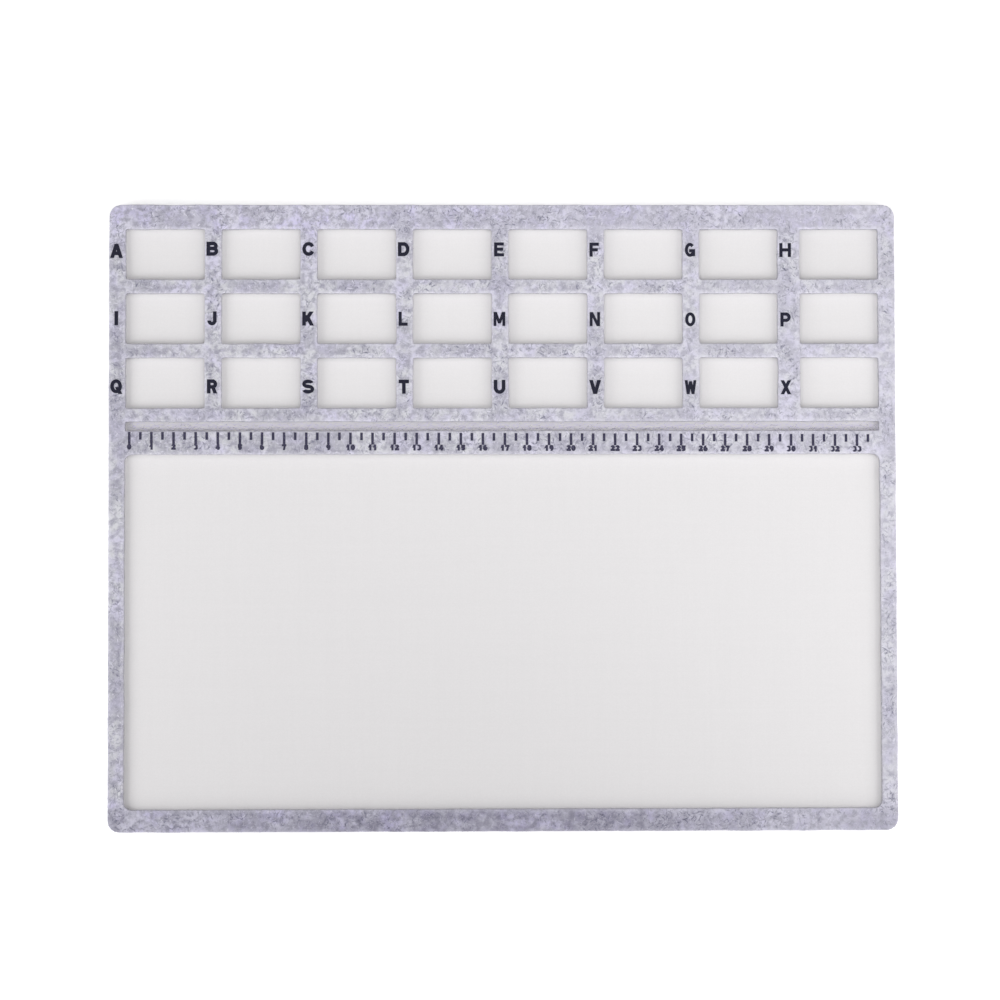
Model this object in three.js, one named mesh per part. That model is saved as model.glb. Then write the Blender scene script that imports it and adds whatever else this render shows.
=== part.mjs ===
// Bead mat: a flat craft mat bonded from three layers of cloth.
// The top layer is a thick felt frame, cut in one piece, with small bead cells in rows, a slim groove
// and one large work window. An off-white work cloth shows through all of these openings, and a sheet
// of felt backs the whole mat. A film of hot-melt glue bonds each layer to the next.
//
// Millimetres, +Z up. The origin is the middle of the underside, +X runs along the rows of cells from
// left to right, and +Y runs from the work window towards the cells.
import * as THREE from "three";

// Plan of the frame from its left edge to its right edge
const cellColumns = 8;
const cellWidth = 35.8;
const dividerWidth = 7.6;
const lastDividerWidth = 10; // the divider before the last column is cut wider than the others
const cellSideRail = 7.5;
const grooveSideRail = 7.5;
const workSideRail = 7.1;

// Plan of the frame from its top edge to its bottom edge
const topRail = 11;
const cellRows = 3;
const cellDepth = 23;
const rowBar = 6.3;
const grooveBar = 6.1; // felt between the last row of cells and the groove
const grooveWidth = 4.2;
const rulerBar = 10.6; // felt between the groove and the work window, which carries the ruler
const workDepth = 160.5;
const bottomRail = 10;

// Corner radii
const matRadius = 5.2;
const cellRadius = 1;
const grooveRadius = 0.5;
const workRadius = 3.5;
const arcSegments = 2; // each quarter arc is drawn with twice as many edges

// Thickness of each layer, from the table up
const baseThickness = 2;
const glueThickness = 0.2;
const clothThickness = 1;
const frameThickness = 3;
const layerGap = 0.02; // air between two layers, so that neighbouring solids never share space

// Overall plan
const plainDividers = cellColumns - 2;
const cellFieldWidth = cellColumns * cellWidth + plainDividers * dividerWidth + lastDividerWidth;
const matWidth = cellFieldWidth + 2 * cellSideRail;
const cellFieldDepth = cellRows * cellDepth + (cellRows - 1) * rowBar;
const matDepth =
  topRail + cellFieldDepth + grooveBar + grooveWidth + rulerBar + workDepth + bottomRail;
const leftEdge = -matWidth / 2;
const topEdge = matDepth / 2;

// Draws a rectangle with rounded corners, counter-clockwise from its bottom edge.
function drawRoundedRectangle(path, { left, top, width, depth, radius }) {
  const right = left + width;
  const bottom = top - depth;
  const quarter = Math.PI / 2;
  path.moveTo(left + radius, bottom);
  path.lineTo(right - radius, bottom);
  path.absarc(right - radius, bottom + radius, radius, -quarter, 0);
  path.lineTo(right, top - radius);
  path.absarc(right - radius, top - radius, radius, 0, quarter);
  path.lineTo(left + radius, top);
  path.absarc(left + radius, top - radius, radius, quarter, 2 * quarter);
  path.lineTo(left, bottom + radius);
  path.absarc(left + radius, bottom + radius, radius, 2 * quarter, 3 * quarter);
  return path;
}

// The outline that every layer of the mat is trimmed to.
function matOutline() {
  const outline = { left: leftEdge, top: topEdge, width: matWidth, depth: matDepth, radius: matRadius };
  return drawRoundedRectangle(new THREE.Shape(), outline);
}

// The bead cells, row by row from the top and from left to right in each row.
function cellOpenings() {
  const openings = [];
  for (let row = 0; row < cellRows; row += 1) {
    const top = topEdge - topRail - row * (cellDepth + rowBar);
    let left = leftEdge + cellSideRail;
    for (let column = 0; column < cellColumns; column += 1) {
      openings.push({ left, top, width: cellWidth, depth: cellDepth, radius: cellRadius });
      const nextIsLast = column === cellColumns - 2;
      left += cellWidth + (nextIsLast ? lastDividerWidth : dividerWidth);
    }
  }
  return openings;
}

// The slim groove between the cells and the ruler, as long as the mat less its two side rails.
function grooveOpening() {
  return {
    left: leftEdge + grooveSideRail,
    top: topEdge - topRail - cellFieldDepth - grooveBar,
    width: matWidth - 2 * grooveSideRail,
    depth: grooveWidth,
    radius: grooveRadius,
  };
}

// The large window over the work cloth.
function workOpening() {
  return {
    left: leftEdge + workSideRail,
    top: -topEdge + bottomRail + workDepth,
    width: matWidth - 2 * workSideRail,
    depth: workDepth,
    radius: workRadius,
  };
}

// The outline of the frame and of the glue under it, with every opening cut through.
function frameOutline() {
  const outline = matOutline();
  const openings = [...cellOpenings(), grooveOpening(), workOpening()];
  outline.holes = openings.map((opening) => drawRoundedRectangle(new THREE.Path(), opening));
  return outline;
}

// Heathered grey felt with a lavender cast.
function feltMaterial() {
  return new THREE.MeshStandardMaterial({ color: 0xbebccb, roughness: 0.95, metalness: 0 });
}

// Off-white brushed cloth.
function clothMaterial() {
  return new THREE.MeshStandardMaterial({ color: 0xe8e6e5, roughness: 0.9, metalness: 0 });
}

// Milky hot-melt glue, set as a thin film.
function glueMaterial() {
  return new THREE.MeshStandardMaterial({ color: 0xf0eee8, roughness: 0.5, metalness: 0 });
}

// The layers from the table up, each lying on the one before it.
const layers = [
  { name: "felt_base", outline: matOutline(), thickness: baseThickness, material: feltMaterial() },
  { name: "base_glue_film", outline: matOutline(), thickness: glueThickness, material: glueMaterial() },
  { name: "work_cloth", outline: matOutline(), thickness: clothThickness, material: clothMaterial() },
  { name: "frame_glue_film", outline: frameOutline(), thickness: glueThickness, material: glueMaterial() },
  { name: "felt_frame", outline: frameOutline(), thickness: frameThickness, material: feltMaterial() },
];

const beadMat = new THREE.Group();
beadMat.name = "bead_mat";

let height = 0;
for (const { name, outline, thickness, material } of layers) {
  const settings = { depth: thickness, bevelEnabled: false, curveSegments: arcSegments };
  const layer = new THREE.Mesh(new THREE.ExtrudeGeometry(outline, settings), material);
  layer.name = name;
  layer.position.z = height;
  beadMat.add(layer);
  height += thickness + layerGap;
}

export default beadMat;
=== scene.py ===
"""Bead mat: felt, cloth, glue and print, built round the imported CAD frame.

The file is laid out as a Blender add-on and is run as a script. Lengths are in metres, in the frame of the
CAD: the origin is the middle of the underside, +X runs along the rows of cells, and +Y points from the work
window towards the cells.
"""
import math
import random

import bpy
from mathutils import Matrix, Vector, geometry, kdtree, noise
from mathutils.bvhtree import BVHTree


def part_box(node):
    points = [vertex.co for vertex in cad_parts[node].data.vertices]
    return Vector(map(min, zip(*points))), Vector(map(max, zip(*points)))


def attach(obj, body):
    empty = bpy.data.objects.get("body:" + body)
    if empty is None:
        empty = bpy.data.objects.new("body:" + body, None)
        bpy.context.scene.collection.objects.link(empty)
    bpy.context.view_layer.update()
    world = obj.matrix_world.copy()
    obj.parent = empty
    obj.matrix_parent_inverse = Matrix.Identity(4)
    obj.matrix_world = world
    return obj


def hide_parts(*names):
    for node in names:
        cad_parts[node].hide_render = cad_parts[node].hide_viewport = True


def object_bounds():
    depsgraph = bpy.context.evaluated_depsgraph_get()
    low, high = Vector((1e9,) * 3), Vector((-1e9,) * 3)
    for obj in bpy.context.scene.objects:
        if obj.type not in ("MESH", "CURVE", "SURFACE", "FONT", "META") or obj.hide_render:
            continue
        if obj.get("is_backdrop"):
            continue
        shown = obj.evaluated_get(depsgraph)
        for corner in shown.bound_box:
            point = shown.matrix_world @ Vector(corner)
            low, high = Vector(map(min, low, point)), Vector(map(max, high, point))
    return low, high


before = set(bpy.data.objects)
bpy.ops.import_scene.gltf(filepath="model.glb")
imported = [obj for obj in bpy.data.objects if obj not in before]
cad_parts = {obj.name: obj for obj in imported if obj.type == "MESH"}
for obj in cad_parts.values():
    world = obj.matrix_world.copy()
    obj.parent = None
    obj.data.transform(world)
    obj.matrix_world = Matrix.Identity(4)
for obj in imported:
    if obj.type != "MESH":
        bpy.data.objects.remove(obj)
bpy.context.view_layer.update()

bl_info = {
    "name": "Bead Mat",
    "version": (1, 0, 0),
    "blender": (4, 5, 0),
    "location": "View3D > Sidebar > Bead Mat",
    "description": "Builds the felt, cloth, glue and print of a bead mat round its CAD frame",
    "category": "Object",
}

MM = 0.001
BODY = "root"  # a mat has no joints, so every piece rides on its only body
SAME_POINT = 1e-7  # metres: points closer than this are one point
SAME_HEIGHT = 0.001 * MM  # points closer than this in height lie on one face
SHARP_ANGLE = math.radians(50)  # edges that turn more than this look sharp
SENSOR_WIDTH = 36  # millimetres, as Blender gives it

FRAME_PIECE = "die_cut_felt_frame"
CLOTH_PIECE = "brushed_work_cloth"
BASE_PIECE = "felt_backing_sheet"
PRINTED_PIECES = ("index_letters", "ruler_ticks", "ruler_numerals")
LETTER_PIECE, TICK_PIECE, NUMERAL_PIECE = PRINTED_PIECES
CUT_EDGE = "cut_edge"  # how near a point of the felt is to a cut edge, from 0 to 1


def linear(hex_colour):
    """Linear red, green and blue of an sRGB hex colour."""
    shares = []
    for start in (1, 3, 5):
        value = int(hex_colour[start:start + 2], 16) / 255
        shares.append(value / 12.92 if value <= 0.04045 else ((value + 0.055) / 1.055) ** 2.4)
    return tuple(shares)


def length(name, description, millimetres):
    """A property for a length, whose default is given in millimetres."""
    return bpy.props.FloatProperty(
        name=name, description=description, default=millimetres * MM,
        precision=5, subtype="DISTANCE", unit="LENGTH",
    )


def lengths(name, description, millimetres):
    """A property for three lengths, whose defaults are given in millimetres."""
    return bpy.props.FloatVectorProperty(
        name=name, description=description, default=[value * MM for value in millimetres],
        precision=5, subtype="XYZ_LENGTH", unit="LENGTH",
    )


def colour(name, description, hex_colour):
    """A property for a colour, whose default is given as an sRGB hex value."""
    return bpy.props.FloatVectorProperty(
        name=name, description=description, default=linear(hex_colour),
        size=3, min=0, max=1, subtype="COLOR",
    )


def share(name, description, value):
    """A property for a share from 0 to 1."""
    return bpy.props.FloatProperty(
        name=name, description=description, default=value, min=0, max=1, subtype="FACTOR",
    )


def strength(name, description, value):
    """A property for the brightness of a light."""
    return bpy.props.FloatProperty(name=name, description=description, default=value, min=0)


def position(name, description, metres):
    """A property for a place on the stage."""
    return bpy.props.FloatVectorProperty(
        name=name, description=description, default=metres, subtype="TRANSLATION", unit="LENGTH",
    )


class FeltSettings(bpy.types.PropertyGroup):
    """Sizes and colours of the felt frame and the felt base."""

    edge_round: length("Edge rounding", "Radius of the soft upper rim of a cut edge", 0.6)
    edge_wobble: length("Edge wobble", "How far a cut edge strays from its line", 0.14)
    wobble_size: length("Wobble size", "Length of one wave of a cut edge", 1.5)
    cut_waver: length("Cut waver", "How far the cutting line itself wavers, in all layers alike", 0.2)
    waver_size: length("Waver size", "Length of one wave of the cutting line", 13.0)
    relief: length("Relief", "Height of the clumps of fibre on the surface", 0.05)
    relief_size: length("Relief size", "Width of one clump of fibre", 2.8)
    spacing: length("Point spacing", "Distance between the points of the mesh", 1.1)
    # The pale rim along cut edges is a painted highlight, where the rounded rims catch the light.
    rim_highlight_width: length("Pale rim", "Width of the band along a cut edge where raised fibres look paler", 1.8)
    lavender: colour("Lavender", "Felt where the lavender fibre prevails", "#D4CFEB")
    grey: colour("Grey", "Felt where the grey fibre prevails", "#D6D6DB")
    # Shade darkens the hollows between clumps, which is painted shade, and also the felt's own slow dark
    # patches.
    shade: colour("Shade", "Felt in the hollows between clumps", "#9F9DAC")
    dark_fibre: colour("Dark fibre", "Fibres blended in to give the heathered look", "#77778A")
    light_fibre: colour("Light fibre", "Bright fibres that lie on the surface", "#E0DEEA")
    # The cut face colour is painted shade: cut walls are drawn darker than the felt for the shade that falls
    # on them.
    cut_face_shade: colour("Cut face", "Open fibre ends of a cut edge, which swallow light", "#787684")
    dull: colour("Dull tint", "What darkens the felt along its bottom rail", "#CBCAD0")
    pale_end: share("Pale end", "How much paler the felt is at its right end", 0.3)
    # Rim fuzz sets the strength of that painted highlight.
    rim_highlight: share("Rim fuzz", "How much paler raised fibres make the rim of a cut edge", 0.32)
    fuzz: length("Fuzz", "Height of the clumps and fibres that the finish draws", 0.25)
    drift: lengths("Drift", "Size of the patches where lavender or grey fibre prevails", (9, 9, 9))
    clump: lengths("Clump", "Size of a clump of fibre", (3.2, 3.2, 3.2))
    patch: lengths("Patch", "Size of the slow dark patches", (15, 15, 15))
    crowd: lengths("Crowd", "Size of the patches where dark fibres crowd", (11, 11, 11))
    blotch: lengths("Blotch", "Size of the dull blotches along the bottom rail", (4, 4, 4))
    layer: lengths("Layer", "Size of the layers that show in a cut face", (2.2, 2.2, 0.5))
    dark_streak: lengths("Dark streak", "Size of a dark fibre", (2.8, 0.9, 0.9))
    light_streak: lengths("Light streak", "Size of a light fibre", (2.6, 0.8, 0.8))
    tint_start: length("Tint start", "How far from the top and bottom edges the felt is most lavender", 11.0)
    tint_end: length("Tint end", "How far from those edges the added lavender stops", 18.0)
    dull_start: length("Dull start", "How far from the bottom edge the felt is fully dull", 7.0)
    dull_end: length("Dull end", "How far from the bottom edge the dullness stops", 13.0)


class FibreSettings(bpy.types.PropertyGroup):
    """Sizes of the loose fibres on the felt."""

    # A real fibre is about 0.03 mm thick, and is drawn three times as thick so that it shows.
    thickness: length("Thickness", "Thickness of a fibre", 0.09)
    root_depth: length("Root depth", "How deep a fibre is rooted in the felt", 0.2)
    edge_reach: length("Edge reach", "How far a fibre stands out of a cut edge", 0.6)
    edge_gap: length("Edge gap", "Distance between two fibres along a cut edge", 0.75)
    top_length: length("Top length", "Length of a fibre that lies on the surface", 2.6)
    top_gap: length("Top gap", "Distance between two fibres on the surface", 2.6)
    top_arch: length("Top arch", "How far a fibre bows up from the surface", 0.12)
    top_sink: length("Top sink", "How deep the ends of such a fibre sink in", 0.03)
    lint_length: length("Lint length", "Length of a fibre that lies in the groove", 2.2)
    lint_gap: length("Lint gap", "Distance between two fibres in the groove", 0.47)
    tone: lengths("Tone", "Size of a paler stretch of a fibre", (0.9, 0.9, 0.9))
    lint: colour("Lint", "Lavender fibres that have gathered in the groove", "#DAD3F5")


class ClothSettings(bpy.types.PropertyGroup):
    """Sizes and colours of the work cloth."""

    edge_round: length("Edge rounding", "Radius of the rim of the cloth", 0.15)
    ripple: length("Ripple", "Height of the slow waves in the cloth", 0.03)
    ripple_size: length("Ripple size", "Length of one wave in the cloth", 24.0)
    spacing: length("Point spacing", "Distance between the points of the mesh", 3.0)
    thread: length("Thread spacing", "Distance from one thread of the weave to the next", 0.8)
    white: colour("White", "Raised nap of the cloth", "#E9E7E8")
    # The hollow colour is painted shade between the threads, over the threads' own unevenness.
    hollow: colour("Hollow", "Cloth between the threads", "#E6E4E5")
    nap: lengths("Nap", "Size of a tuft of the nap", (0.7, 0.7, 0.7))
    nap_height: length("Nap height", "Height of the nap and weave that the finish draws", 0.08)
    warp_slub: lengths("Warp slub", "Size of a thicker stretch of thread along Y", (1.6, 45, 2))
    weft_slub: lengths("Weft slub", "Size of a thicker stretch of thread along X", (45, 1.6, 2))


class GlueSettings(bpy.types.PropertyGroup):
    """Sizes and colours of the two glue films."""

    set_back: length("Set back", "How far the film stays behind the cut edges", 0.25)
    wobble: length("Wobble", "How far the edge of the film strays", 0.15)
    spacing: length("Point spacing", "Distance between the points of the mesh", 2.0)
    pool: lengths("Pool", "Size of the thicker spots in the film", (3, 3, 1))
    swell: length("Swell", "Height of the thicker spots that the finish draws", 0.05)
    milky: colour("Milky", "Set glue", "#EFECE3")
    yellowed: colour("Yellowed", "Glue where the film is thicker", "#E0D8C4")


class PrintSettings(bpy.types.PropertyGroup):
    """Sizes and places of the printed letters and of the ruler."""

    film: length("Film", "Height of the ink over the felt", 0.06)
    step: length("Point spacing", "Distance between the points of a mark's mesh", 0.6)
    letter_height: length("Letter height", "Height of a letter", 6.4)
    letter_width: length("Letter width", "Width of a wide letter", 5.3)
    narrow_width: length("Narrow width", "Width of a narrow letter", 4.7)
    letter_stroke: length("Letter stroke", "Width of a letter's strokes", 1.65)
    slender_stroke: length("Slender stroke", "Width of the strokes of a lightly printed letter", 1.45)
    crowded_stroke: length("Crowded stroke", "Width of the strokes of a letter that has many", 1.3)
    first_column: length("First column", "Middle of the first letters, from the left edge", 3.35)
    column_pitch: length("Column pitch", "Distance from a letter to the next in its row", 43.4)
    letter_rows: lengths("Letter rows", "Middle of each row, from the top edge", (20.0, 51.7, 82.6))
    first_drop: length("First letter's drop", "How much lower the very first letter is printed", 1.1)
    row_drop: length("Row drop", "How much lower the last letter of a row is printed than its first", 0.7)
    ruler_start: length("Ruler start", "Zero mark, from the left edge", 9.35)
    ruler_top: length("Ruler top", "Upper end of the zero mark, from the top edge", 103.3)
    ruler_drop: length("Ruler drop", "How much lower the print lies at the far end of the ruler", 1.4)
    tick_width: length("Tick width", "Width of a tick", 1.2)
    long_tick: length("Long tick", "Length of a tick at a whole centimetre", 5.4)
    short_tick: length("Short tick", "Length of a tick at half a centimetre", 3.5)
    numeral_top: length("Numeral top", "Distance from the top of a tick to its numeral", 5.35)
    numeral_height: length("Numeral height", "Height of a numeral", 2.7)
    numeral_width: length("Numeral width", "Width of one digit", 2.05)
    numeral_stroke: length("Numeral stroke", "Width of a digit's strokes", 1.0)
    digit_gap: length("Digit gap", "Space between two digits", 0.12)
    bare_fibre: lengths("Bare fibre", "Size of a fibre that stands out of the ink", (1.8, 0.35, 0.35))
    soak: lengths("Soak", "Size of the spots where the ink has soaked in", (0.8, 0.8, 0.8))
    soak_depth: length("Soak depth", "Depth of those spots, which the finish draws", 0.1)
    ink: colour("Ink", "Printing ink on the felt", "#19192B")
    thin_ink: colour("Thin ink", "Ink where fibres show through", "#25253B")
    ruler_ink: colour("Ruler ink", "The thinner coat of ink on the ruler", "#3A384D")
    ruler_thin: colour("Ruler thin ink", "Ruler ink where fibres show through", "#54506B")


class StageSettings(bpy.types.PropertyGroup):
    """The floor, the lights and the camera."""

    floor: colour("Floor", "Paper that the mat lies on", "#FAFAFA")
    floor_glow: strength("Floor glow", "Light of its own that keeps the paper white", 0.35)
    tooth: lengths("Tooth", "Size of the paper's unevenness", (2, 2, 2))
    tooth_height: length("Tooth height", "Height of that unevenness, which the finish draws", 0.05)
    dome: strength("Dome", "Soft light from all round", 0.5)
    lean: share("Lean", "How much more of the dome's light comes from the work window's end", 1.0)
    box_size: length("Box size", "Side of a square soft box", 300.0)
    left_box: strength("Left box", "Power of the soft box beyond the left end, in watts", 0.98)
    left_place: position("Left place", "Where the left soft box stands", (-0.5, -0.1, 0.3))
    right_box: strength("Right box", "Power of the soft box beyond the right end, in watts", 0.65)
    right_place: position("Right place", "Where the right soft box stands", (0.5, -0.1, 0.3))
    top_box: strength("Top box", "Power of the soft box over the cells, in watts", 0.46)
    top_place: position("Top place", "Where the soft box over the cells hangs", (0.0, 0.2, 0.35))
    corner_box: strength("Corner box", "Power of the soft box over the right end, in watts", 0.17)
    corner_place: position("Corner place", "Where the right end's soft box hangs", (0.26, -0.05, 0.25))
    lens: bpy.props.FloatProperty(
        name="Lens", description=f"Focal length of the camera, whose sensor is {SENSOR_WIDTH} mm wide",
        default=95.3, subtype="DISTANCE_CAMERA",
    )
    camera_place: position("Camera place", "Where the camera stands", (-0.0213, -0.0342, 1.2050))
    camera_turn: bpy.props.FloatVectorProperty(
        name="Camera turn", description="How the camera is turned from looking straight down",
        default=(math.radians(2.0), math.radians(-0.945), math.radians(-0.119)),
        subtype="EULER", unit="ROTATION",
    )


class MatSettings(bpy.types.PropertyGroup):
    """All settings of the bead mat."""

    felt: bpy.props.PointerProperty(type=FeltSettings, name="Felt", description="Frame and base")
    fibres: bpy.props.PointerProperty(type=FibreSettings, name="Fibres", description="Loose fibres")
    cloth: bpy.props.PointerProperty(type=ClothSettings, name="Cloth", description="Work cloth")
    glue: bpy.props.PointerProperty(type=GlueSettings, name="Glue", description="Glue films")
    marks: bpy.props.PointerProperty(type=PrintSettings, name="Print", description="Letters and ruler")
    stage: bpy.props.PointerProperty(type=StageSettings, name="Stage", description="Floor, light, camera")


# Materials

EASED = {"interpolation_type": "SMOOTHSTEP"}  # a range that starts and ends softly
FACTOR, FIRST, SECOND, MIXED = 0, 6, 7, 2  # sockets of a Mix node for colours, which share their names


def add_node(tree, kind, inputs=None, output=0, **settings):
    """Adds a node with its settings, fills its inputs and returns one of its outputs.

    An input is given a value, a colour of three shares or the output of another node.
    """
    node = tree.nodes.new("ShaderNode" + kind)
    for name, value in settings.items():
        setattr(node, name, value)
    for name, value in (inputs or {}).items():
        socket = node.inputs[name]
        if isinstance(value, bpy.types.NodeSocket):
            tree.links.new(value, socket)
        else:
            socket.default_value = (*value, 1.0) if socket.type == "RGBA" else value
    return node.outputs[output] if node.outputs else None


def new_material(name):
    """A material of that name whose nodes are still to be added, and its node tree."""
    material = bpy.data.materials.new(name)
    material.use_nodes = True
    material.node_tree.nodes.clear()
    return material, material.node_tree


def finish_material(tree, inputs):
    """Closes a node tree with one surface shader that has those inputs."""
    add_node(tree, "OutputMaterial", {"Surface": add_node(tree, "BsdfPrincipled", inputs)})


def grain(tree, size, turn=0.0, detail=2.0, distortion=0.0):
    """Uneven grain from 0 to 1, of that size in metres along X, Y and Z, turned about Z."""
    here = add_node(tree, "TexCoord", output="Object")
    scaled = add_node(
        tree, "Mapping", {"Vector": here, "Rotation": (0, 0, turn), "Scale": size}, vector_type="TEXTURE",
    )
    pattern = {"Vector": scaled, "Scale": 1.0, "Detail": detail, "Distortion": distortion}
    return add_node(tree, "TexNoise", pattern)


def streaks(tree, turns, size, low, high):
    """Fibres of that length and width, lying in each of the directions in turns, as a mask."""
    mask = None
    for turn in turns:
        fibres = grain(tree, size, math.radians(turn), detail=1.5, distortion=0.4)
        layer = add_node(tree, "MapRange", {"Value": fibres, "From Min": low, "From Max": high}, **EASED)
        if mask is not None:
            layer = add_node(tree, "Math", {0: mask, 1: layer}, operation="MAXIMUM")
        mask = layer
    return mask


def felt_masks(tree, felt, clumps):
    """Where the felt changes its tone, each as a mask that goes from its first weight to its last.

    The mix of fibre changes over the sheet: there is more lavender in its top and bottom rails. The colour
    is also paler towards the right end and darker along the middle of the bottom rail. A cut face shows the
    fibres on edge, in thin uneven layers, over a darker colour that is painted shade.
    """
    low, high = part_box("felt_frame")
    here = add_node(tree, "TexCoord", output="Object")
    facing = add_node(tree, "NewGeometry", output="Normal")
    x = add_node(tree, "SeparateXYZ", {"Vector": here}, "X")
    y = add_node(tree, "SeparateXYZ", {"Vector": here}, "Y")
    z = add_node(tree, "SeparateXYZ", {"Vector": facing}, "Z")
    across, along, upright = [add_node(tree, "Math", {0: each}, operation="ABSOLUTE") for each in (x, y, z)]
    masks = {}
    # A mask has its first weight where its pattern is at its start, and its last where it is at its end.
    for name, pattern, start, end, first, last in (
        ("lavender", grain(tree, felt.drift), 0.42, 0.66, 0.0, 0.65),
        ("end_rails", along, high.y - felt.tint_end, high.y - felt.tint_start, 0.0, 0.4),
        ("patches", grain(tree, felt.patch, detail=1.0), 0.6, 0.35, 0.0, 0.52),
        # Hollows between clumps, where the bump lies low, are darkened as painted shade on top of the felt's
        # own mottling.
        ("hollows", clumps, 0.6, 0.34, 0.0, 0.85),
        ("pale_end", x, 0.7 * low.x, high.x, 0.0, felt.pale_end),
        ("crowded", grain(tree, felt.crowd, detail=1.0), 0.35, 0.65, 0.25, 1.0),
        ("low_rail", y, low.y + felt.dull_end, low.y + felt.dull_start, 0.0, 1.0),
        ("middle", across, 0.7 * high.x, 0.25 * high.x, 0.5, 1.0),
        ("blotches", grain(tree, felt.blotch, detail=3.0), 0.36, 0.62, 0.5, 1.0),
        ("layers", grain(tree, felt.layer, detail=4.0), 0.36, 0.62, 0.2, 0.8),
        ("cut_face_shade", upright, 0.4, 0.1, 0.0, 1.0),
    ):
        weights = {"Value": pattern, "From Min": start, "From Max": end, "To Min": first, "To Max": last}
        masks[name] = add_node(tree, "MapRange", weights, **EASED)
    return masks


def felt_material(felt):
    """Pressed felt of blended polyester fibre, die-cut.

    It is matt, with a soft bright fuzz at grazing angles. Lavender and grey fibre are unevenly mixed, so
    the colour drifts over several millimetres, and single dark and light fibres lie in all directions.
    """
    name = "heathered_pressed_felt"
    if name in bpy.data.materials:
        return bpy.data.materials[name]
    material, tree = new_material(name)
    clumps = grain(tree, felt.clump, detail=4.0)
    masks = felt_masks(tree, felt, clumps)
    lavender = add_node(tree, "Math", {0: masks["lavender"], 1: masks["end_rails"]}, operation="ADD")
    # Felt fibres are about 0.03 mm thick. They are drawn many times as wide so that the render shows them.
    dark = streaks(tree, (12, 58, 103, 149), felt.dark_streak, low=0.56, high=0.78)
    crowded_dark = add_node(tree, "Math", {0: dark, 1: masks["crowded"]}, operation="MULTIPLY")
    light = streaks(tree, (34, 80, 126, 171), felt.light_streak, low=0.58, high=0.86)
    # Light fibres on the surface, and a painted highlight along the rim of each cut edge.
    nearness = add_node(tree, "Attribute", output="Fac", attribute_name=CUT_EDGE)
    rim_highlight_inputs = {0: nearness, 1: felt.rim_highlight, 2: light}
    light_fibres_and_rim_highlight = add_node(tree, "Math", rim_highlight_inputs, operation="MULTIPLY_ADD", use_clamp=True)
    dulling = masks["low_rail"]
    for part in ("middle", "blotches"):
        dulling = add_node(tree, "Math", {0: dulling, 1: masks[part]}, operation="MULTIPLY")
    # Cut walls take a darker colour, broken into layers: painted shade over the felt's own layering.
    layers = {FACTOR: masks["layers"], FIRST: felt.cut_face_shade, SECOND: felt.grey}
    cut_face_shade = add_node(tree, "Mix", layers, MIXED, data_type="RGBA")
    colour_so_far = felt.grey
    for mask, next_colour, way in (
        (lavender, felt.lavender, "MIX"),
        (masks["patches"], felt.shade, "MIX"),
        (masks["hollows"], felt.shade, "MIX"),
        (masks["pale_end"], felt.light_fibre, "MIX"),
        (crowded_dark, felt.dark_fibre, "MIX"),
        (light_fibres_and_rim_highlight, felt.light_fibre, "MIX"),
        (dulling, felt.dull, "MULTIPLY"),
        (masks["cut_face_shade"], cut_face_shade, "MIX"),
    ):
        colours = {FACTOR: mask, FIRST: colour_so_far, SECOND: next_colour}
        colour_so_far = add_node(tree, "Mix", colours, MIXED, data_type="RGBA", blend_type=way)
    fibre_rise = 0.6  # how high a light fibre lies on the clumps, whose own height is 1
    raised = add_node(tree, "Math", {0: light, 1: fibre_rise, 2: clumps}, operation="MULTIPLY_ADD")
    finish_material(tree, {
        "Base Color": colour_so_far,
        "Roughness": 0.95,
        "IOR": 1.5,
        "Specular IOR Level": 0.2,
        "Sheen Weight": 0.15,
        "Sheen Roughness": 0.5,
        "Normal": add_node(tree, "Bump", {"Strength": 0.4, "Distance": felt.fuzz, "Height": raised}),
    })
    return material


def fibre_material(name, tone, rgb, pale):
    """Loose polyester fibre: matt, and paler over short stretches, where it bends into the light."""
    material, tree = new_material(name)
    bends = {"Value": grain(tree, tone), "From Min": 0.4, "From Max": 0.65}
    colours = {FACTOR: add_node(tree, "MapRange", bends, **EASED), FIRST: rgb, SECOND: pale}
    finish_material(tree, {
        "Base Color": add_node(tree, "Mix", colours, MIXED, data_type="RGBA"),
        "Roughness": 0.8,
        "IOR": 1.5,
        "Sheen Weight": 0.2,
    })
    return material


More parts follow.
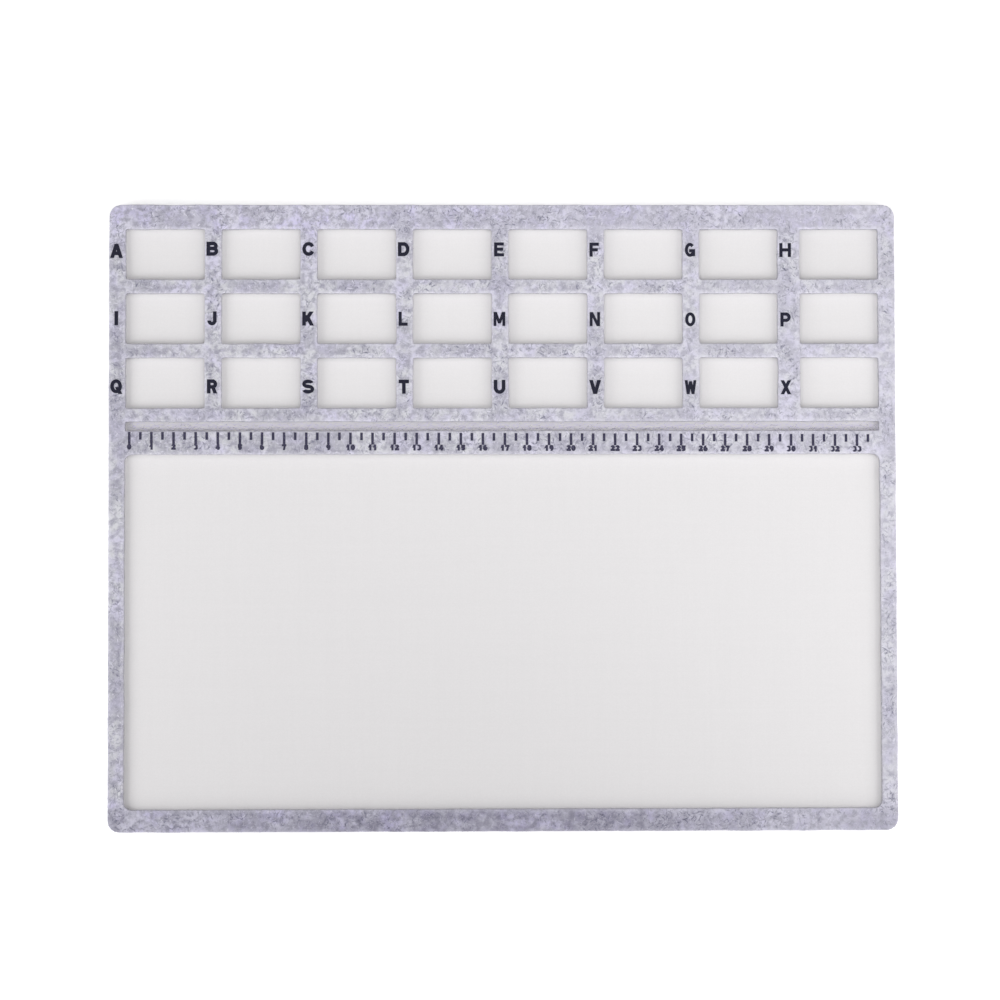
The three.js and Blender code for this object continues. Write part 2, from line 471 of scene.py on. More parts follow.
def cloth_material(cloth):
    """Brushed off-white polyester cloth.

    The raised nap makes it matt and almost even. A plain weave shows through as faint lines both ways, with
    slow changes where a thread is thicker.
    """
    material, tree = new_material("brushed_off_white_cloth")
    here = add_node(tree, "TexCoord", output="Object")
    # Such threads lie about 0.4 mm apart. They are drawn wider apart so that the weave shows in the render.
    threads = {"Vector": here, "Scale": (cloth.thread,) * 3}
    scaled = add_node(tree, "Mapping", threads, vector_type="TEXTURE")
    one_wave = math.pi / 10  # scale at which a wave texture repeats once per unit
    waves = {"Vector": scaled, "Scale": one_wave, "Distortion": 0.8, "Detail Scale": 0.4}
    warp, weft = [add_node(tree, "TexWave", waves, "Fac", bands_direction=way) for way in ("X", "Y")]
    weave = add_node(tree, "Math", {0: warp, 1: weft}, operation="MULTIPLY")
    nap = grain(tree, cloth.nap, detail=3.0)
    thick = {0: grain(tree, cloth.warp_slub), 1: grain(tree, cloth.weft_slub)}
    slubs = add_node(tree, "Math", thick, operation="ADD")
    weave_rise, slub_rise = 0.1, 0.3  # how much weave and slubs show through the nap, whose own height is 1
    relief = add_node(tree, "Math", {0: weave, 1: weave_rise, 2: nap}, operation="MULTIPLY_ADD")
    depth = add_node(tree, "Math", {0: slubs, 1: slub_rise, 2: relief}, operation="MULTIPLY_ADD")
    # Where weave and slubs lie low the cloth is darker: the threads' own unevenness, with painted shade
    # between them.
    hollows = add_node(tree, "MapRange", {"Value": depth, "From Min": 1.15, "From Max": 0.55}, **EASED)
    colours = {FACTOR: hollows, FIRST: cloth.white, SECOND: cloth.hollow}
    nap_bump = {"Strength": 0.12, "Distance": cloth.nap_height, "Height": relief}
    finish_material(tree, {
        "Base Color": add_node(tree, "Mix", colours, MIXED, data_type="RGBA"),
        "Roughness": 0.92,
        "IOR": 1.5,
        "Specular IOR Level": 0.25,
        "Sheen Weight": 0.1,
        "Sheen Roughness": 0.5,
        "Normal": add_node(tree, "Bump", nap_bump),
    })
    return material


def glue_material(glue):
    """Hot-melt film, set: milky, waxy, and yellower where it lies thicker."""
    name = "set_hot_melt_film"
    if name in bpy.data.materials:
        return bpy.data.materials[name]
    material, tree = new_material(name)
    pools = {"Value": grain(tree, glue.pool), "From Min": 0.4, "From Max": 0.65}
    thick = add_node(tree, "MapRange", pools, **EASED)
    colours = {FACTOR: thick, FIRST: glue.milky, SECOND: glue.yellowed}
    finish_material(tree, {
        "Base Color": add_node(tree, "Mix", colours, MIXED, data_type="RGBA"),
        "Roughness": 0.45,
        "IOR": 1.48,
        "Normal": add_node(tree, "Bump", {"Strength": 0.4, "Distance": glue.swell, "Height": thick}),
    })
    return material


def ink_material(name, marks, full, thin):
    """Screen-printed ink, soaked into felt: matt, and thinner where fibres stand out of it."""
    material, tree = new_material(name)
    fibres = streaks(tree, (20, 75, 130), marks.bare_fibre, low=0.6, high=0.72)
    soaked = grain(tree, marks.soak, detail=3.0)
    colours = {FACTOR: fibres, FIRST: full, SECOND: thin}
    finish_material(tree, {
        "Base Color": add_node(tree, "Mix", colours, MIXED, data_type="RGBA"),
        "Roughness": 0.75,
        "IOR": 1.5,
        "Specular IOR Level": 0.3,
        "Normal": add_node(tree, "Bump", {"Strength": 0.5, "Distance": marks.soak_depth, "Height": soaked}),
    })
    return material


def paper_material(stage):
    """White background paper, a little uneven, lit through so that it stays white in a picture."""
    material, tree = new_material("white_background_paper")
    tooth = {"Strength": 0.05, "Distance": stage.tooth_height, "Height": grain(tree, stage.tooth)}
    finish_material(tree, {
        "Base Color": stage.floor,
        "Roughness": 0.9,
        "Emission Color": stage.floor,
        "Emission Strength": stage.floor_glow,
        "Normal": add_node(tree, "Bump", tooth),
    })
    return material


# Meshes

INSIDE = 1  # what a triangulation keeps: the triangles inside its borders


def rim(faces):
    """The directed edges that only one of the faces has, in a fixed order."""
    edges = set()
    for face in faces:
        for start, end in zip(face, face[1:] + face[:1]):
            if (end, start) in edges:
                edges.remove((end, start))
            else:
                edges.add((start, end))
    return sorted(edges)


def outlines(node):
    """Loops of points round the upper face of a flat CAD node, the longest first.

    The material lies on the left of each loop, so the outer loop runs counter-clockwise and holes run
    clockwise.
    """
    decimals = 6  # of a metre, so that corners that two faces share are equal
    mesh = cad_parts[node].data
    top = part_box(node)[1].z
    upper = []
    for face in mesh.polygons:
        corners = [mesh.vertices[index].co for index in face.vertices]
        if min(corner.z for corner in corners) > top - SAME_HEIGHT:
            upper.append(tuple((round(x, decimals), round(y, decimals)) for x, y, z in corners))
    following = dict(rim(upper))
    loops = []
    while following:
        first, point = following.popitem()
        loop = [Vector(first)]
        while point != first:
            loop.append(Vector(point))
            point = following.pop(point)
        loops.append(loop)
    return sorted(loops, key=loop_length, reverse=True)


def loop_length(loop):
    """Length of a closed loop of points."""
    return sum((end - start).length for start, end in zip(loop, loop[1:] + loop[:1]))


def spaced(loop, spacing):
    """The loop with points added, so that no two neighbours are further apart than the spacing."""
    points = []
    for start, end in zip(loop, loop[1:] + loop[:1]):
        steps = max(1, math.ceil((end - start).length / spacing))
        points += [start.lerp(end, step / steps) for step in range(steps)]
    return points


def inward(loop):
    """At each point of a loop, the way into the material, long enough to keep corners mitred."""
    ways = []
    for before, point, after in zip(loop[-1:] + loop[:-1], loop, loop[1:] + loop[:1]):
        arriving = (point - before).normalized()
        leaving = (after - point).normalized()
        both = Vector((-arriving.y - leaving.y, arriving.x + leaving.x))
        ways.append(both * 2 / both.length_squared)
    return ways


def extent(points):
    """Least and greatest x, then least and greatest y of the points."""
    across = [point.x for point in points]
    up = [point.y for point in points]
    return min(across), max(across), min(up), max(up)


def gap_finder(rings):
    """A function for the distance from a place to the nearest point of the rings."""
    points = [point for ring in rings for point in ring]
    tree = kdtree.KDTree(len(points))
    for index, point in enumerate(points):
        tree.insert((point.x, point.y, 0), index)
    tree.balance()

    def gap(x, y):
        return tree.find((x, y, 0))[2]
    return gap


def scattered(rings, spacing, seed):
    """Points in a jittered grid over the rings' box, none of them close to a ring."""
    jitter = 0.3  # how far a point strays from its place in the grid, as a share of the spacing
    clear = 0.6  # how far it stays from the rings, as a share of the spacing
    chance = random.Random(seed)
    gap = gap_finder(rings)
    left, right, low, high = extent([point for ring in rings for point in ring])
    points = []
    for row in range(1, int((high - low) / spacing)):
        for column in range(1, int((right - left) / spacing)):
            x = left + (column + chance.uniform(-jitter, jitter)) * spacing
            y = low + (row + chance.uniform(-jitter, jitter)) * spacing
            if gap(x, y) > clear * spacing:
                points.append(Vector((x, y)))
    return points


def numbered(rings):
    """The points of all rings in one list, and each ring as indices into it."""
    points = []
    borders = []
    for ring in rings:
        borders.append(list(range(len(points), len(points) + len(ring))))
        points += ring
    return points, borders


def cap(rings, loose):
    """Triangles that fill the first ring without the other rings, which are its holes.

    They are triples of indices into the rings' points, ring after ring, followed by the loose points.
    """
    points, borders = numbered(rings)
    borders[1:] = [border[::-1] for border in borders[1:]]
    found = geometry.delaunay_2d_cdt(points + loose, [], borders, INSIDE, SAME_POINT)
    triangles, sources, covers = found[2], found[3], found[5]
    outer_only = [0]  # a triangle in a hole is also covered by that hole's border
    return [
        tuple(sources[corner][0] for corner in triangle)
        for triangle, cover in zip(triangles, covers)
        if list(cover) == outer_only
    ]


def opening_depth(loop):
    """How far a loop of points reaches along Y."""
    low, high = extent(loop)[2:]
    return high - low


def edge_profile(low, high, rounding):
    """How far in and how high each ring of a cut edge lies, from its foot to its rounded rim."""
    wall_steps = 3
    arc_steps = 4
    shoulder = high - rounding
    wall = [(0.0, low + (shoulder - low) * step / wall_steps) for step in range(wall_steps + 1)]
    arc = []
    for step in range(1, arc_steps + 1):
        angle = math.pi / 2 * step / arc_steps
        arc.append((rounding * (1 - math.cos(angle)), shoulder + rounding * math.sin(angle)))
    return wall + arc


def cut_stray(point):
    """How far the cutting line strays at a point, which is the same in every layer."""
    felt = bpy.context.scene.bead_mat.felt
    return felt.cut_waver * noise.noise(Vector((point.x, point.y, 0)) / felt.waver_size)


def bands(rows):
    """Faces between each closed row of points and the next, where a row is a list of indices."""
    faces = []
    for lower, upper in zip(rows, rows[1:]):
        for this, following in enumerate([*range(1, len(lower)), 0]):
            faces.append((lower[this], lower[following], upper[following], upper[this]))
    return faces


def layer_mesh(loops, low, high, rounding, spacing, wobble, wobble_size, relief, seed):
    """Vertices and faces of a flat layer, closed all round.

    Its edges follow the cutting line and stray from it by the wobble, its upper rim is rounded, and
    relief(x, y) raises its upper side.
    """
    def edge_point(point, way, inset, height):
        here = point + way * inset
        stray = wobble * noise.noise(Vector((here.x, here.y, height)) / wobble_size)
        here = here + way * (cut_stray(point) + stray)
        raised = height + relief(here.x, here.y) * (height - low) / (high - low)
        return Vector((here.x, here.y, raised))

    vertices = []
    faces = []
    feet = []
    rims = []
    for loop in loops:
        ring = spaced(loop, spacing)
        ways = inward(ring)
        rows = []
        for inset, height in edge_profile(low, high, rounding):
            rows.append(list(range(len(vertices), len(vertices) + len(ring))))
            vertices += [edge_point(point, way, inset, height) for point, way in zip(ring, ways)]
        faces += bands(rows)
        feet.append(rows[0])
        rims.append(rows[-1])
    foot_rings = [[vertices[index].xy for index in row] for row in feet]
    foot_index = [index for row in feet for index in row]
    faces += [tuple(foot_index[corner] for corner in reversed(triple)) for triple in cap(foot_rings, [])]
    rim_rings = [[vertices[index].xy for index in row] for row in rims]
    rim_index = [index for row in rims for index in row]
    loose = scattered(rim_rings, spacing, seed)
    triangles = cap(rim_rings, loose)
    place = dict(enumerate(rim_index))
    for corner in sorted({corner for triple in triangles for corner in triple} - set(place)):
        x, y = loose[corner - len(rim_index)]
        place[corner] = len(vertices)
        vertices.append(Vector((x, y, high + relief(x, y))))
    faces += [tuple(place[corner] for corner in triple) for triple in triangles]
    return vertices, faces


def make_piece(name, vertices, faces, materials, slot):
    """A smooth mesh object that rides on the mat; the slot is not used."""
    mesh = bpy.data.meshes.new(name)
    mesh.from_pydata(vertices, [], faces)
    for material in materials:
        mesh.materials.append(material)
    mesh.shade_smooth()
    mesh.set_sharp_from_angle(angle=SHARP_ANGLE)
    piece = bpy.data.objects.new(name, mesh)
    bpy.context.scene.collection.objects.link(piece)
    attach(piece, BODY)
    return piece


def mark_cut_edges(piece, loops, reach):
    """Stores on each point of a piece how near it is to one of the loops, from 0 at the reach to 1."""
    fineness = 4  # points of a loop within the reach
    gap = gap_finder([spaced(loop, reach / fineness) for loop in loops])
    attribute = piece.data.attributes.new(CUT_EDGE, "FLOAT", "POINT")
    for vertex, value in zip(piece.data.vertices, attribute.data):
        value.value = max(0.0, 1 - gap(vertex.co.x, vertex.co.y) / reach)


def matted(felt):
    """A function for the height of the felt's clumps of fibre at a point."""
    fine_share = 0.6  # the rest of the height is that of wider clumps
    wider = 4  # times as wide as the fine clumps

    def height(x, y):
        fine = noise.noise(Vector((x, y, 0)) / felt.relief_size)
        coarse = noise.noise(Vector((x, y, 0)) / (wider * felt.relief_size))
        return felt.relief * (fine_share * fine + (1 - fine_share) * coarse)
    return height


def surface_height(piece_name):
    """A function for the height of a piece's upper side at a point, far below where there is none."""
    mesh = bpy.data.objects[piece_name].data
    tree = BVHTree.FromPolygons(
        [vertex.co for vertex in mesh.vertices], [face.vertices for face in mesh.polygons],
    )
    clear = 10 * MM  # how far over the mat the rays start that look for the piece
    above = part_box("felt_frame")[1].z + clear

    def height(x, y):
        hit = tree.ray_cast(Vector((x, y, above)), Vector((0, 0, -1)))[0]
        return -math.inf if hit is None else hit.z
    return height


# Printed marks: each character is a list of strokes in a box from 0 to 1 both ways.
#   stem: across, low, high          bar: up, left, right
#   slant: across and up of its lower end, then of its upper end
#   arc: across and up of its middle, its two radii, first and last angle in degrees

BOWL = ("arc", 0.5, 0.5, 0.5, 0.5)
STROKES = {
    "A": [("slant", -0.06, 0, 0.5, 1), ("slant", 1.06, 0, 0.5, 1), ("bar", 0.27, 0.2, 0.8)],
    "B": [("stem", 0, 0, 1), ("bar", 1, 0, 0.6), ("bar", 0.53, 0, 0.6), ("bar", 0, 0, 0.55),
          ("arc", 0.6, 0.765, 0.34, 0.235, -90, 90), ("arc", 0.55, 0.265, 0.45, 0.265, -90, 90)],
    "C": [("arc", 0.56, 0.5, 0.56, 0.5, 28, 332)],
    "D": [("stem", 0, 0, 1), ("bar", 1, 0, 0.45), ("bar", 0, 0, 0.45),
          ("arc", 0.45, 0.5, 0.55, 0.5, -90, 90)],
    "E": [("stem", 0, 0, 1), ("bar", 1, 0, 0.92), ("bar", 0.52, 0, 0.84), ("bar", 0, 0, 0.95)],
    "F": [("stem", 0, 0, 1), ("bar", 1, 0, 0.86), ("bar", 0.48, 0, 0.72)],
    "G": [(*BOWL, 42, 330), ("bar", 0.42, 0.6, 1), ("stem", 1, 0.06, 0.42)],
    "H": [("stem", 0, 0, 1), ("stem", 1, 0, 1), ("bar", 0.52, 0, 1)],
    "I": [("stem", 0.5, 0, 1)],
    "J": [("stem", 0.88, 0.3, 1), ("arc", 0.46, 0.3, 0.42, 0.3, 180, 360)],
    "K": [("stem", 0, 0, 1), ("slant", 0.1, 0.36, 0.92, 1), ("slant", 0.98, 0, 0.32, 0.66)],
    "L": [("stem", 0, 0, 1), ("bar", 0, 0, 0.82)],
    "M": [("stem", 0, 0, 1), ("stem", 1, 0, 1), ("slant", 0.5, 0.22, 0.05, 1),
          ("slant", 0.5, 0.22, 0.95, 1)],
    "N": [("stem", 0, 0, 1), ("stem", 1, 0, 1), ("slant", 0.95, 0, 0.05, 1)],
    "O": [(*BOWL, 0, 360)],
    "P": [("stem", 0, 0, 1), ("bar", 1, 0, 0.55), ("bar", 0.42, 0, 0.55),
          ("arc", 0.55, 0.71, 0.45, 0.29, -90, 90)],
    "Q": [(*BOWL, 0, 360), ("slant", 1.02, -0.06, 0.62, 0.26)],
    "R": [("stem", 0, 0, 1), ("bar", 1, 0, 0.55), ("bar", 0.45, 0, 0.55),
          ("arc", 0.55, 0.725, 0.43, 0.275, -90, 90), ("slant", 0.98, 0, 0.5, 0.45)],
    "S": [("arc", 0.5, 0.755, 0.5, 0.245, 20, 270), ("arc", 0.5, 0.255, 0.54, 0.255, -160, 90)],
    "T": [("bar", 1, 0, 1), ("stem", 0.5, 0, 1)],
    "U": [("stem", 0, 0.42, 1), ("stem", 1, 0.42, 1), ("arc", 0.5, 0.42, 0.5, 0.42, 180, 360)],
    "V": [("slant", 0.5, 0, 0, 1), ("slant", 0.5, 0, 1, 1)],
    "W": [("slant", 0.22, 0, 0, 1), ("slant", 0.22, 0, 0.5, 0.9), ("slant", 0.78, 0, 0.5, 0.9),
          ("slant", 0.78, 0, 1, 1)],
    "X": [("slant", 0, 0, 1, 1), ("slant", 1, 0, 0, 1)],
    "0": [(*BOWL, 0, 360)],
    "1": [("stem", 0.6, 0, 1), ("slant", 0.1, 0.74, 0.6, 0.95)],
    "2": [("arc", 0.5, 0.7, 0.5, 0.3, -20, 170), ("slant", 0.08, 0.05, 0.94, 0.58), ("bar", 0, 0, 1)],
    "3": [("arc", 0.45, 0.76, 0.47, 0.24, -90, 150), ("arc", 0.45, 0.26, 0.53, 0.26, -150, 90)],
    "4": [("stem", 0.72, 0, 1), ("bar", 0.26, 0, 1), ("slant", 0.06, 0.3, 0.66, 0.98)],
    "5": [("bar", 1, 0.08, 0.92), ("stem", 0.08, 0.52, 1), ("arc", 0.44, 0.31, 0.52, 0.31, -150, 130)],
    "6": [("arc", 0.5, 0.3, 0.5, 0.3, 0, 360), ("arc", 0.6, 0.5, 0.6, 0.5, 70, 190)],
    "7": [("bar", 1, 0, 1), ("slant", 0.36, 0, 0.96, 0.96)],
    "8": [("arc", 0.5, 0.76, 0.42, 0.24, 0, 360), ("arc", 0.5, 0.26, 0.5, 0.26, 0, 360)],
    "9": [("arc", 0.5, 0.7, 0.5, 0.3, 0, 360), ("arc", 0.4, 0.5, 0.6, 0.5, -110, 10)],
}
LETTER_ROWS = ("ABCDEFGH", "IJKLMNOP", "QRSTUVWX")
NARROW_LETTERS = "EFGJLNOPRTX"
CROWDED_LETTERS = "MNW"
SLENDER_LETTERS = "EFGHLOPX"
RULER_CENTIMETRES = 34  # numbered from 0, each with a long tick and a short one half a centimetre on
ARC_STEP = 15  # degrees from one point of an arc to the next


def rectangle(left, low, right, high):
    """Corners of an upright rectangle, counter-clockwise."""
    return [Vector((left, low)), Vector((right, low)), Vector((right, high)), Vector((left, high))]


def arc_outlines(middle, across, up, stroke, first, last):
    """A curved stroke with those two radii, as a row of short blocks from the first angle to the last."""
    steps = math.ceil((last - first) / ARC_STEP)
    cuts = []
    for step in range(steps + 1):
        angle = math.radians(first + (last - first) * step / steps)
        way = Vector((math.cos(angle), math.sin(angle)))
        cuts.append([
            middle + Vector((way.x * (across + side), way.y * (up + side)))
            for side in (-stroke / 2, stroke / 2)
        ])
    return [[*cut, *following[::-1]] for cut, following in zip(cuts, cuts[1:])]


def character_outlines(character, corner, width, height, stroke):
    """Outlines of a character's strokes, with the lower left corner of its box at that corner."""
    half = stroke / 2

    def spot(across, up):
        inner = Vector((half + across * (width - stroke), half + up * (height - stroke)))
        return corner + inner

    found = []
    for kind, *values in STROKES[character]:
        if kind == "stem":
            across, low, high = values
            foot, head = spot(across, low), spot(across, high)
            found.append(rectangle(foot.x - half, foot.y - half, head.x + half, head.y + half))
        elif kind == "bar":
            up, left, right = values
            start, end = spot(left, up), spot(right, up)
            found.append(rectangle(start.x - half, start.y - half, end.x + half, end.y + half))
        elif kind == "slant":
            foot = spot(*values[:2]) - Vector((0, half))
            head = spot(*values[2:]) + Vector((0, half))
            reach = Vector((half * (head - foot).length / (head.y - foot.y), 0))
            found.append([foot - reach, foot + reach, head + reach, head - reach])
        else:
            across, up, wide, tall, first, last = values
            radii = wide * (width - stroke), tall * (height - stroke)
            found += arc_outlines(spot(across, up), *radii, stroke, first, last)
    return found


def press_ink(outline_list, height_at, marks, vertices, faces):
    """Adds one mark to the vertices and faces: a thin closed film that follows the felt."""
    points, borders = numbered([spaced(outline, marks.step) for outline in outline_list])
    found = geometry.delaunay_2d_cdt(points, [], borders, INSIDE, SAME_POINT)
    places, covers = found[0], found[5]
    triangles = [tuple(triangle) for triangle, cover in zip(found[2], covers) if cover]
    upper = {}
    lower = {}
    for corner in sorted({corner for triangle in triangles for corner in triangle}):
        x, y = places[corner]
        height = height_at(x, y)
        if height == -math.inf:
            raise ValueError("A printed mark reaches over the edge of the felt")
        upper[corner] = len(vertices)
        lower[corner] = len(vertices) + 1
        vertices += [(x, y, height + marks.film), (x, y, height - marks.film)]
    for first, second, third in triangles:
        faces.append((upper[first], upper[second], upper[third]))
        faces.append((lower[third], lower[second], lower[first]))
    for start, end in rim(triangles):
        faces.append((lower[start], lower[end], upper[end], upper[start]))


# Loose fibres

FIBRE_KINDS = (0, 1, 2)  # main colour, dark and light, as a piece of fibres lists its materials


def spin_fibre(path, radius, vertices, faces):
    """Adds a three-sided fibre along a path to the vertices and faces, drawn to a point at both ends."""
    sides = 3
    upright = 0.1  # sine of the angle to the vertical under which a fibre counts as upright
    tip = len(vertices)
    vertices.append(path[0])
    rows = []
    for before, point, after in zip(path, path[1:], path[2:]):
        ahead = (after - before).normalized()
        across = ahead.cross(Vector((0, 0, 1)))
        if across.length < upright:
            across = ahead.cross(Vector((1, 0, 0)))
        across.normalize()
        up = ahead.cross(across)
        rows.append(list(range(len(vertices), len(vertices) + sides)))
        for side in range(sides):
            angle = 2 * math.pi * side / sides
            vertices.append(point + radius * (math.cos(angle) * across + math.sin(angle) * up))
    end = len(vertices)
    vertices.append(path[-1])
    for side in range(sides):
        after = (side + 1) % sides
        faces.append((tip, rows[0][after], rows[0][side]))
        for lower, upper in zip(rows, rows[1:]):
            faces.append((lower[side], lower[after], upper[after], upper[side]))
        faces.append((end, rows[-1][side], rows[-1][after]))


def make_fibres(name, paths, kinds, main_colour, context):
    """Makes a piece of loose fibres along the paths, each of the kind that kinds gives."""
    felt = context.scene.bead_mat.felt
    fibres = context.scene.bead_mat.fibres
    vertices = []
    faces = []
    colours = []
    for path, kind in zip(paths, kinds):
        spin_fibre(path, fibres.thickness / 2, vertices, faces)
        colours += [kind] * (len(faces) - len(colours))
    materials = [
        fibre_material(name + "_lavender", fibres.tone, main_colour, felt.light_fibre),
        fibre_material(name + "_dark", fibres.tone, felt.dark_fibre, felt.shade),
        fibre_material(name + "_light", fibres.tone, felt.light_fibre, felt.lavender),
    ]
    piece = make_piece(name, vertices, faces, materials, "felt")
    piece.data.polygons.foreach_set("material_index", colours)


# Operators

class BEADMAT_OT_felt_base(bpy.types.Operator):
    """Build the felt sheet that backs the mat"""

    bl_idname = "bead_mat.felt_base"
    bl_label = "Felt base"

    def execute(self, context):
        felt = context.scene.bead_mat.felt
        coarser = 2  # times the spacing of the frame's points, because the base is mostly hidden
        low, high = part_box("felt_base")
        vertices, faces = layer_mesh(
            outlines("felt_base"), low.z, high.z, felt.edge_round, coarser * felt.spacing,
            felt.edge_wobble, felt.wobble_size, matted(felt), seed=11,
        )
        # The side with the clumps of fibre faces the table, so the sheet is turned over.
        for vertex in vertices:
            vertex.z = low.z + high.z - vertex.z
        faces = [face[::-1] for face in faces]
        base = make_piece(BASE_PIECE, vertices, faces, [felt_material(felt)], "felt")
        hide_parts("felt_base")
        return {"FINISHED"}


class BEADMAT_OT_work_cloth(bpy.types.Operator):
    """Build the off-white cloth that shows through the openings"""

    bl_idname = "bead_mat.work_cloth"
    bl_label = "Work cloth"

    def execute(self, context):
        cloth = context.scene.bead_mat.cloth
        low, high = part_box("work_cloth")

        def ripple(x, y):
            return cloth.ripple * noise.noise(Vector((x, y, 0)) / cloth.ripple_size)

        vertices, faces = layer_mesh(
            outlines("work_cloth"), low.z, high.z, cloth.edge_round, cloth.spacing,
            cloth.ripple, cloth.spacing, ripple, seed=12,
        )
        piece = make_piece(CLOTH_PIECE, vertices, faces, [cloth_material(cloth)], "cloth")
        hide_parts("work_cloth")
        return {"FINISHED"}


class BEADMAT_OT_glue_films(bpy.types.Operator):
    """Build the two films of glue between the layers"""

    bl_idname = "bead_mat.glue_films"
    bl_label = "Glue films"

    def execute(self, context):
        glue = context.scene.bead_mat.glue
        for node, name, seed in (
            ("base_glue_film", "glue_under_cloth", 13),
            ("frame_glue_film", "glue_under_frame", 14),
        ):
            low, high = (corner.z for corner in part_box(node))
            rounding = (high - low) / 3
            loops = []
            for loop in outlines(node):
                loops.append([point + way * glue.set_back for point, way in zip(loop, inward(loop))])
            vertices, faces = layer_mesh(
                loops, low, high, rounding, glue.spacing, glue.wobble, glue.spacing,
                lambda x, y: 0.0, seed,
            )
            film = make_piece(name, vertices, faces, [glue_material(glue)], "glue")
            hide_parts(node)
        return {"FINISHED"}


class BEADMAT_OT_felt_frame(bpy.types.Operator):
    """Build the felt frame with its cells, groove and work window"""

    bl_idname = "bead_mat.felt_frame"
    bl_label = "Felt frame"

    def execute(self, context):
        felt = context.scene.bead_mat.felt
        loops = outlines("felt_frame")
        low, high = (corner.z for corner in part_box("felt_frame"))
        vertices, faces = layer_mesh(
            loops, low, high, felt.edge_round, felt.spacing,
            felt.edge_wobble, felt.wobble_size, matted(felt), seed=15,
        )
        piece = make_piece(FRAME_PIECE, vertices, faces, [felt_material(felt)], "felt")
        # Nearness to a cut edge places the painted highlight along the rims.
        mark_cut_edges(piece, loops, felt.rim_highlight_width)
        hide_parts("felt_frame")
        # A cut-out this open has less area than a sheet may declare, so it counts as a firm pad of felt.
        return {"FINISHED"}


class BEADMAT_OT_index_letters(bpy.types.Operator):
    """Print one letter beside each cell"""

    bl_idname = "bead_mat.index_letters"
    bl_label = "Index letters"

    def execute(self, context):
        marks = context.scene.bead_mat.marks
        height_at = surface_height(FRAME_PIECE)
        low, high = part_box("felt_frame")
        vertices = []
        faces = []
        for row, letters in enumerate(LETTER_ROWS):
            for column, letter in enumerate(letters):
                middle = Vector((
                    low.x + marks.first_column + column * marks.column_pitch,
                    high.y - marks.letter_rows[row] - marks.row_drop * column / (len(letters) - 1),
                ))
                if row == column == 0:
                    middle.y -= marks.first_drop
                width = marks.narrow_width if letter in NARROW_LETTERS else marks.letter_width
                stroke = marks.letter_stroke
                if letter in CROWDED_LETTERS:
                    stroke = marks.crowded_stroke
                elif letter in SLENDER_LETTERS:
                    stroke = marks.slender_stroke
                corner = middle - Vector((width, marks.letter_height)) / 2
                strokes = character_outlines(letter, corner, width, marks.letter_height, stroke)
                press_ink(strokes, height_at, marks, vertices, faces)
        ink = ink_material("screen_printed_ink", marks, marks.ink, marks.thin_ink)
        make_piece(LETTER_PIECE, vertices, faces, [ink], "ink")
        return {"FINISHED"}


class BEADMAT_OT_ruler(bpy.types.Operator):
    """Print the ruler's ticks and numerals between the groove and the work window"""

    bl_idname = "bead_mat.ruler"
    bl_label = "Ruler"

    def execute(self, context):
        marks = context.scene.bead_mat.marks
        height_at = surface_height(FRAME_PIECE)
        low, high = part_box("felt_frame")
        start = low.x + marks.ruler_start
        top = high.y - marks.ruler_top
        half_centimetre = 5 * MM
        ticks = [], []
        numerals = [], []
        for count in range(2 * RULER_CENTIMETRES):
            x = start + count * half_centimetre
            y = top - marks.ruler_drop * count / (2 * RULER_CENTIMETRES)
            whole = count % 2 == 0
            tick = marks.long_tick if whole else marks.short_tick
            half = marks.tick_width / 2
            press_ink([rectangle(x - half, y - tick, x + half, y)], height_at, marks, *ticks)
            if whole:
                digits = str(count // 2)
                pitch = marks.numeral_width + marks.digit_gap
                corner = Vector((
                    x - (len(digits) * pitch - marks.digit_gap) / 2,
                    y - marks.numeral_top - marks.numeral_height,
                ))
                for place, digit in enumerate(digits):
                    strokes = character_outlines(
                        digit, corner + Vector((place * pitch, 0)),
                        marks.numeral_width, marks.numeral_height, marks.numeral_stroke,
                    )
                    press_ink(strokes, height_at, marks, *numerals)
        ink = ink_material("thin_screen_printed_ink", marks, marks.ruler_ink, marks.ruler_thin)
        make_piece(TICK_PIECE, *ticks, [ink], "ink")
        make_piece(NUMERAL_PIECE, *numerals, [ink], "ink")
        return {"FINISHED"}


